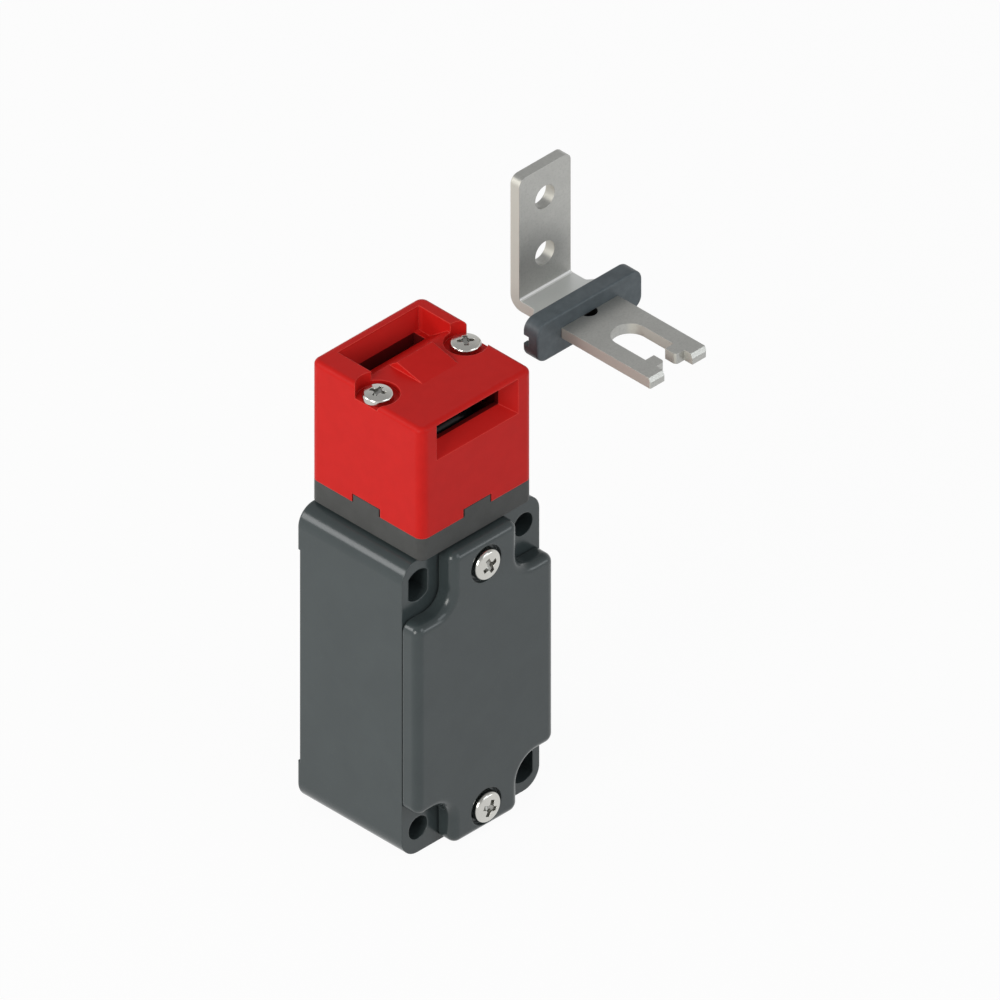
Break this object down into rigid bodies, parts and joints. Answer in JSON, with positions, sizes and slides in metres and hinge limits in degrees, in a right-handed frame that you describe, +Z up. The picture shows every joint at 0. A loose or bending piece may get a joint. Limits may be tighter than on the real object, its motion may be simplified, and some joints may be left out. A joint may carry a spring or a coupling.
{
  "type": "tongue interlock switch",
  "caption": "Guard interlock switch with a square head, slots at its front and top, a screwed front cover, and a separate bent-plate tongue actuator.",
  "frame": {"origin": "centre of the conduit entry on the switch body's bottom face", "axes": "+Z up through the body and the head, -Y towards the cover, +X towards the actuator that stands apart beside the head"},
  "size_m": [0.0767, 0.0472, 0.1307],
  "materials": {
    "painted_body": "satin dark grey-green paint on a die casting",
    "collar_plastic": "fine matt warm dark grey",
    "head_plastic": "satin red",
    "cap_plastic": "matt blue-black",
    "cam_plastic": "matt black",
    "block_plastic": "matt ivory",
    "seal_rubber": "matt black",
    "screw_steel": "bright plated",
    "spring_steel": "bright",
    "key_steel": "blanked stainless sheet",
    "guide_brass": "turned",
    "contact_metal": "plated strip"
  },
  "bodies": {
    "switch": {"housing": "painted_body", "cover": "painted_body", "cover_gasket": "seal_rubber", "cover_screw_top": "screw_steel", "cover_screw_bottom": "screw_steel", "head_collar": "collar_plastic", "head_gasket": "seal_rubber", "head_housing": "head_plastic", "head_screw_left": "screw_steel", "head_screw_right": "screw_steel", "cam_spacer_left": "cam_plastic", "cam_spacer_right": "cam_plastic", "cam_axle": "spring_steel", "plunger_guide": "guide_brass", "plunger_seal": "seal_rubber", "guide_nut": "guide_brass", "return_spring": "spring_steel", "contact_block_rear": "block_plastic", "contact_block_front": "block_plastic", "block_screw_left": "screw_steel", "block_screw_right": "screw_steel", "earth_screw": "screw_steel", "earth_washer": "guide_brass", "fixed_contact_1": "contact_metal", "terminal_clamp_1": "screw_steel", "terminal_screw_1": "screw_steel", "fixed_contact_2": "contact_metal", "terminal_clamp_2": "screw_steel", "terminal_screw_2": "screw_steel", "fixed_contact_3": "contact_metal", "terminal_clamp_3": "screw_steel", "terminal_screw_3": "screw_steel", "fixed_contact_4": "contact_metal", "terminal_clamp_4": "screw_steel", "terminal_screw_4": "screw_steel"},
    "cam": {"cam_wheel": "cam_plastic"},
    "plunger": {"plunger": "spring_steel"},
    "carriage": {"contact_carriage": "cam_plastic", "closed_bridge": "contact_metal", "open_bridge": "contact_metal", "closed_bridge_spring": "spring_steel", "open_bridge_spring": "spring_steel"},
    "actuator": {"actuator_key": "key_steel", "actuator_cap": "cap_plastic"}
  },
  "joints": [
    {"name": "cam_turn", "type": "hinge", "parent": "switch", "child": "cam", "pos_m": [0, 0, 0.08785], "axis": [-1, 0, 0], "range_deg": [0, 70]},
    {"name": "plunger_slide", "type": "slide", "parent": "switch", "child": "plunger", "axis": [0, 0, -1], "range_m": [0, 0.0035], "deforming": ["return_spring"]},
    {"name": "carriage_slide", "type": "slide", "parent": "switch", "child": "carriage", "axis": [0, 0, -1], "range_m": [0, 0.0035]},
    {"name": "actuator_slide", "type": "slide", "parent": "switch", "child": "actuator", "axis": [0, -1, 0], "range_m": [0, 0.0253]}
  ],
  "couplings": [
    {"joint": "cam_turn", "follows": "plunger_slide", "rad_per_m": 349.07},
    {"joint": "carriage_slide", "follows": "plunger_slide", "ratio": 1}
  ]
}
